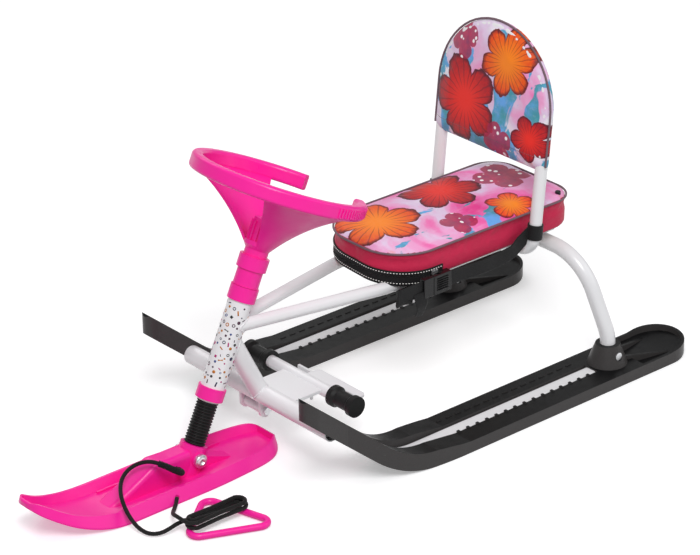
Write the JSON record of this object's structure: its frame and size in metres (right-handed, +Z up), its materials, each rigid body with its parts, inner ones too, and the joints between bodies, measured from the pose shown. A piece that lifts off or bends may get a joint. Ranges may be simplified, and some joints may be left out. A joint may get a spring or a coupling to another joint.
{
  "type": "steering sled",
  "caption": "Child's steering sled on skis: a wheel turns the sprung front ski, with a padded seat and backrest, lap belt, foot brake and tow rope.",
  "frame": {"origin": "on the ground under the middle of the sled without its tow rope", "axes": "+X to the rear, +Y to the rider's right, +Z up"},
  "size_m": [1.1625, 0.48, 0.5706],
  "materials": {
    "white_paint": "gloss",
    "pink_plastic": "gloss",
    "white_plastic": "satin",
    "black_plastic": "gloss",
    "buckle_plastic": "satin",
    "black_rubber": "matte",
    "zinc_steel": "satin",
    "board": "raw",
    "seat_fabric": "woven",
    "back_fabric": "woven",
    "piping": "woven",
    "zip_tape": "woven",
    "webbing": "woven",
    "rope": "braided"
  },
  "bodies": {
    "frame": {"head_tube": "white_paint", "lower_bush": "pink_plastic", "upper_bush": "pink_plastic", "down_tube": "white_paint", "crossbar": "white_paint", "brace_plate": "white_paint", "foot_bar": "white_paint", "foot_grips": "black_rubber", "seat_rail_left": "white_paint", "seat_rail_right": "white_paint", "rear_hoop": "white_paint", "rear_ski_left": "black_plastic", "rear_ski_right": "black_plastic", "runner_tube_left": "white_paint", "runner_tube_right": "white_paint", "hoop_bolts": "zinc_steel", "brake_ears": "white_paint", "brake_bolt": "zinc_steel", "seat_base": "board", "seat_cushion": "seat_fabric", "seat_eyelet": "buckle_plastic", "seat_piping": "piping", "seat_zip_band": "zip_tape", "seat_screws": "zinc_steel", "back_tube": "white_paint", "back_pad": "back_fabric", "back_piping": "piping", "belt_near": "webbing", "belt_far": "webbing", "buckle_socket": "buckle_plastic", "buckle_tab": "buckle_plastic"},
    "steering": {"steering_tube": "zinc_steel", "column_washer": "white_plastic", "column_sleeve": "pink_plastic", "steering_wheel": "pink_plastic", "wheel_screw": "zinc_steel", "bellows": "black_rubber", "suspension_spring": "zinc_steel"},
    "front_ski": {"front_ski": "pink_plastic", "slide_rod": "zinc_steel", "guide_pin": "zinc_steel", "front_ski_bolt": "zinc_steel", "rope_front": "rope", "rope_hank": "rope", "rope_rear": "rope", "rope_handle": "pink_plastic"},
    "brake": {"brake_lever": "white_paint"},
    "zip": {"zip_slider": "zinc_steel"}
  },
  "joints": [
    {"name": "steer", "type": "hinge", "parent": "frame", "child": "steering", "pos_m": [-0.289, 0, 0], "axis": [0.4195, 0, 0.9078], "range_deg": [-35, 35]},
    {"name": "ski_spring", "type": "slide", "parent": "steering", "child": "front_ski", "axis": [0.4195, 0, 0.9078], "range_m": [0, 0.012], "stiffness_N_per_m": 3000, "springref_m": -0.02, "deforming": ["bellows", "suspension_spring"]},
    {"name": "brake_pedal", "type": "hinge", "parent": "frame", "child": "brake", "pos_m": [-0.131, 0, 0.055], "axis": [0, 1, 0], "range_deg": [0, 20], "stiffness_Nm_per_rad": 2, "springref_deg": -20.05},
    {"name": "zip_run", "type": "hinge", "parent": "frame", "child": "zip", "pos_m": [0.131, -0.021, 0.24], "axis": [0, 0, -1], "range_deg": [0, 85]}
  ]
}
